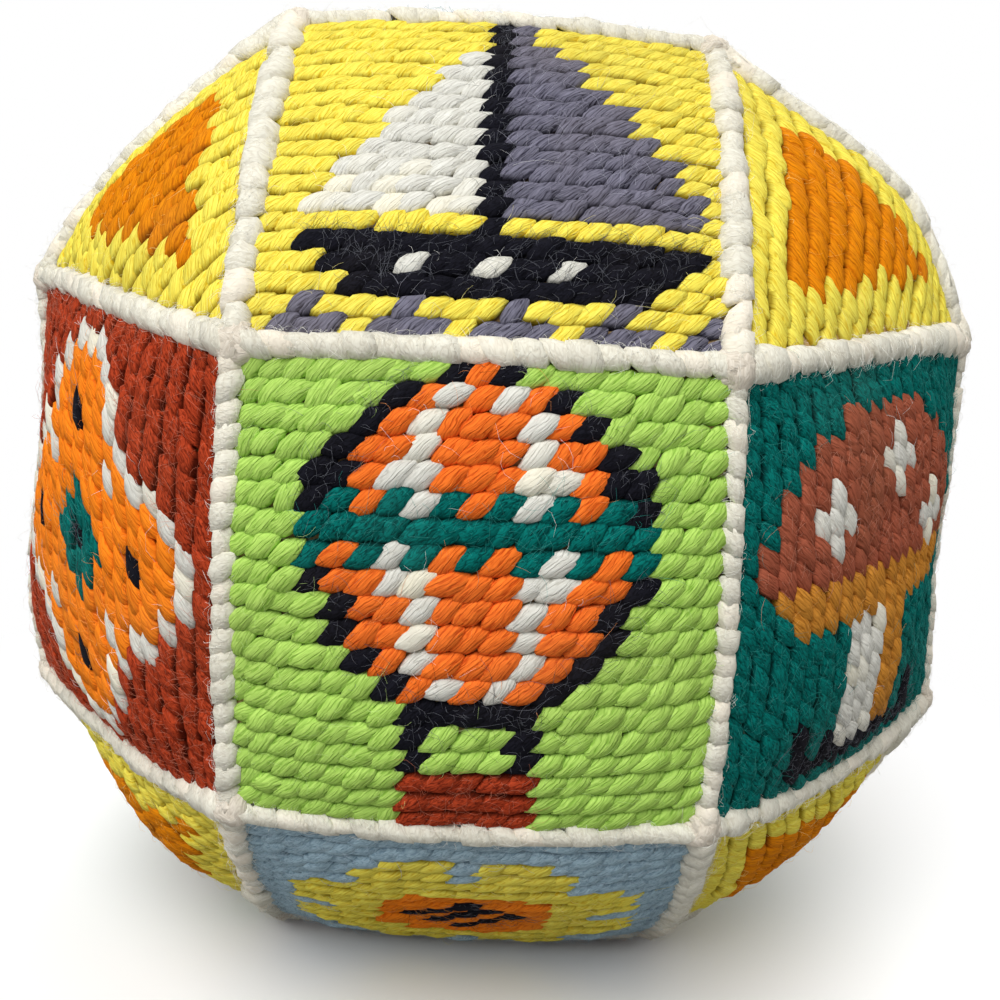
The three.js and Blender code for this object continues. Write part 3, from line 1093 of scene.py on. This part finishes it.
triangle_area = math.sqrt(3) / 4 * (canvas_reach * math.sqrt(3)) ** 2
triangle_flat = (canvas_reach * math.sqrt(3), canvas_reach * 1.5)
triangle_cut = {
    "work": triangle_work, "places": triangle_places, "middles": triangle_middles,
    "canvas": triangle_canvas, "flat": triangle_flat, "area": triangle_area,
    "gaps": lambda at: edge_gaps(at)[0].min(1), "settle": drawn_in,
}
for number, face in enumerate(triangles):
    name = face["name"] + "_triangle"
    random = np.random.default_rng(200 + number)
    add_panel(name, name, face, triangle_cut, triangle_wool, 0, random)
print(len(triangles), "triangles laid")

# %% [markdown]
# ## Overcast seams
# Two edges are joined by winding cream yarn over both, about one turn to a stitch. Each turn is
# the same kind of grain, set aslant across the seam. A spiral curve would be quicker, but turns
# that are laid flat one by one and rolled round the seam's middle line can each be a little off,
# as in hand work. At the corners, where four seams end, strands cross into a lump.

# %% One turn of yarn
roll_radius, roll_depth = 1.65 * mm, 1.2 * mm
wrap_half, wrap_height = 2.9 * mm, 1.0 * mm
wrap_rings = ((1.0, 1.0, 0.0), (0.9, 1.2, 0.0), (0.62, 1.02, 0.0), (0.22, 1.02, 0.0))
wrap = yarn_grain("wrap", (wrap_half, 2.2 * mm, wrap_height), wrap_rings)
wrap_places = numbers(wrap.data.vertices, "co", 3)
print("a turn of yarn is", round(2 * wrap_half / mm, 1), "mm long")


# %% Seam lines
def seam_frame(first, last, share):
    """Middle line of a seam at shares of its length, with its axes across and out."""
    def line(s):
        flat = first + np.outer(s, last - first)
        lift = seam_bow * (1 - (2 * s - 1) ** 2) - roll_depth
        return flat + unit(flat) * lift[:, None], unit(flat)

    middle, out = line(share)
    along = unit(line(share + 0.002)[0] - line(share - 0.002)[0])
    across = unit(np.cross(out, along))
    return middle, across, np.cross(along, across)


# turns, plumpness, slant in degrees, width and unevenness
windings = {
    "left upright": (19, 1.1, 24, 0.98, 0.06),
    "right upright": (19, 1.1, -17, 0.86, 0.06),
    "side slope": (19, 1.7, 20, 1.16, 0.06),
    "front slope": (14, 1.5, 14, 1.2, 0.12),
    "triangle level": (18, 1.25, 28, 1.16, 0.09),
    "level": (18, 1.25, 28, 0.96, 0.09),
}


def winding(first, last):
    """How a seam is wound, by the way that it runs."""
    aside, onward, steep = np.abs(unit(last - first))
    if steep > 0.9:
        return windings["left upright" if first[0] < 0 else "right upright"]
    if steep > 0.6:
        return windings["side slope" if aside > 0.6 else "front slope"]
    return windings["triangle level" if min(aside, onward) > 0.6 else "level"]


def rolled(first, last, place, work):
    """Work laid flat along a seam, x along it, y across and z out, rolled round its middle line."""
    middle, across, out = seam_frame(first, last, place + work[:, 0] / edge)
    angle = work[:, 1] / roll_radius
    radius = (roll_radius + work[:, 2]) * winding(first, last)[3]
    aside, outward = (radius * np.sin(angle))[:, None], (radius * np.cos(angle))[:, None]
    return as_sewn(middle + aside * across + outward * out)


def laid_over(places, slant):
    """A turn of yarn set across the seam, its ends drawn apart along the seam by the slant."""
    x, y, z = places.T
    return np.stack((-y - x * math.tan(slant), x, z), 1)


seam_trim, turn_wool = 0.8 * mm, 0.12 * mm


def seam_blocks(first, last, random):
    """Places of the points of each turn of yarn along a seam."""
    turns, plump, slant, _, uneven = winding(first, last)
    trim = seam_trim / edge
    blocks = []
    for place in trim + (np.arange(turns) + 0.5) / turns * (1 - 2 * trim):
        size = (1, plump, 1) + random.normal(0, uneven, 3)
        slip = random.normal(0, 2.2 * uneven, 3) * mm
        woolly = random.normal(0, turn_wool, wrap_places.shape)
        angle = math.radians(slant) + random.normal(0, 1.3 * uneven)
        turn = laid_over(wrap_places * size + woolly, angle)
        blocks.append(rolled(first, last, place, turn + slip))
    return blocks


# %% A seam from turns of yarn
def add_seam(node_name, blocks, wool_of, random):
    """One mesh of turns of yarn, from the places of their points, in place of a CAD seam."""
    name = f"{node_name}_yarn"
    count = len(wool_of)
    turn = [list(face.vertices) for face in wrap.data.polygons]
    mesh = mesh_of_many(name, np.concatenate(blocks), turn, count)
    plies = numbers(wrap.data.uv_layers["yarn"].data, "uv", 2)
    put(mesh.uv_layers.new(name="yarn").data, "uv", np.tile(plies, (count, 1)))
    across = math.ceil(math.sqrt(count))
    cell = np.stack((np.arange(count) % across, np.arange(count) // across), 1)
    cells = np.tile(bake_map(wrap), (count, 1)) + cell.repeat(len(plies), 0)
    put(mesh.uv_layers.new(name="OFBake").data, "uv", cells / across)
    mesh.uv_layers["yarn"].active_render = True
    seam = add_object(name, mesh)
    dye_stitches(seam, wool_of, random)
    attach(seam, body)
    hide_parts(node_name)


# %% Straight seams
fibres_per_seam, fibre_spread = 340, 1.8 * mm


def seam_fuzz_paths(first, last, random):
    places = random.random(fibres_per_seam) * edge
    roots = np.stack((places, random.normal(0, fibre_spread, fibres_per_seam)), 1)
    paths = bent_fibres(roots, math.radians(100), 1.05 * wrap_height, random)
    return rolled(first, last, 0, paths.reshape(-1, 3)).reshape(paths.shape)


def add_seam_fuzz(name, fuzz):
    paths = np.concatenate(fuzz)
    threads = thread_mesh(name, paths, ["cream"] * len(paths))
    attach(threads, body)


seam_fuzz = []
for slant in directions(2):
    for axis in [k for k in range(3) if slant[k]]:
        facing = [part if k == axis else 0 for k, part in enumerate(slant)]
        ends = [reach_along(axis) * [part or sign for part in slant] for sign in (-1, 1)]
        name = f"{direction_name(*facing)}_to_{direction_name(*slant)}_seam"
        random = np.random.default_rng(300 + len(seam_fuzz))
        blocks = seam_blocks(*ends, random)
        seam_fuzz.append(seam_fuzz_paths(*ends, random))
        add_seam(name, blocks, ["cream"] * len(blocks), random)
add_seam_fuzz("straight_seam_fuzz", seam_fuzz)
print(len(seam_fuzz), "straight seams wound")


# %% Corner lumps and the seams round the triangles
lump_depth, lump_radius = 2.6 * mm, 3.2 * mm
strand_size = (1.8, 0.76, 0.9)
strand_slip, strand_pile, strand_wander = 1.3 * mm, 0.07 * mm, 0.15
strand_turns = (0.0, 1.1, 2.0, 0.55, 1.6, 2.6, 0.9)


def knot_blocks(corner, random):
    """Strands of yarn that cross over one corner of the ball."""
    out = unit(corner)
    side = unit(np.cross(out, (0.3, 0.5, 0.81)))
    other = np.cross(out, side)
    blocks = []
    start = random.random() * math.pi
    for layer, spread in enumerate(strand_turns):
        woolly = random.normal(0, wool_spread, wrap_places.shape)
        work = wrap_places * strand_size + (0, random.normal(0, strand_slip), 0) + woolly
        x, y, z = turned_by(work, start + spread + random.normal(0, strand_wander)).T
        reach = np.hypot(x, y) + 1e-9
        angle = (reach / (lump_radius + 0.3 * mm))[:, None]
        radius = (lump_radius + strand_pile * layer + z)[:, None]
        flat = (x / reach)[:, None] * side + (y / reach)[:, None] * other
        lump = radius * (np.sin(angle) * flat + np.cos(angle) * out)
        blocks.append(as_sewn(corner - out * lump_depth + lump))
    return blocks


ring_fuzz = []
for number, direction in enumerate(directions(3)):
    random = np.random.default_rng(400 + number)
    corners = triangle_corners(direction)
    sides = [(corners[k], corners[(k + 1) % 3]) for k in range(3)]
    blocks = [block for side in sides for block in seam_blocks(*side, random)]
    ring_fuzz += [seam_fuzz_paths(*side, random) for side in sides]
    wool_of = ["cream"] * len(blocks)
    for corner in corners:
        strands = knot_blocks(corner, random)
        blocks += strands
        wool_of += ["worn_cream"] * len(strands)
    add_seam(f"{direction_name(*direction)}_triangle_seam", blocks, wool_of, random)
add_seam_fuzz("triangle_seam_fuzz", ring_fuzz)
print(number + 1, "triangles edged")

# %% [markdown]
# ## Stuffing
# Loose fibre fills the ball and pushes the panels out. It is never seen whole, but it is what the
# canvas lies on: a copy of the CAD core, merged, divided and made lumpy.

# %% Stuffing
lump_scale, lump_height = 0.012, 1.6 * mm
stuffing = copy_of(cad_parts["stuffing_core"], "stuffing")
stuffing.hide_viewport = False
select_only(stuffing)
stuffing.data.materials.clear()
switch_to("EDIT")
bpy.ops.mesh.select_all(action="SELECT")
bpy.ops.mesh.remove_doubles(threshold=0.05 * mm)
bpy.ops.mesh.subdivide(number_cuts=1)
switch_to("OBJECT")
lumps = bpy.data.textures.new("lumps", "CLOUDS")
lumps.noise_scale = lump_scale
displace = stuffing.modifiers.new("lumps", "DISPLACE")
displace.texture = lumps
displace.mid_level = 1.0
displace.strength = lump_height
bpy.ops.object.modifier_apply(modifier=displace.name)
inside = numbers(stuffing.data.vertices, "co", 3) - (0, 0, centre_height)
put(stuffing.data.vertices, "co", as_sewn(inside))
bpy.ops.object.shade_smooth()

# %% Finish of the stuffing
fill, tree, shader = new_material("fibrefill")
place = node(tree, "TexCoord").outputs["Object"]
tufts = node(tree, "TexNoise", {"Vector": place, "Scale": 400.0, "Detail": 4.0}).outputs["Fac"]
colour = mixed(tree, tufts, linear(206, 204, 196), linear(246, 245, 240))
rough = maths(tree, "MULTIPLY_ADD", tufts, 0.1, 0.88)
dress(tree, shader, colour, rough, tufts, 0.8, 1.0 * mm)
stuffing.data.materials.append(fill)
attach(stuffing, body)
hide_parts("stuffing_core")
print("stuffing of", len(stuffing.data.polygons), "faces")

# %% Patterns put away
for pattern in (flat_work, triangle_work, wrap, square_canvas, triangle_canvas):
    bpy.data.objects.remove(pattern)
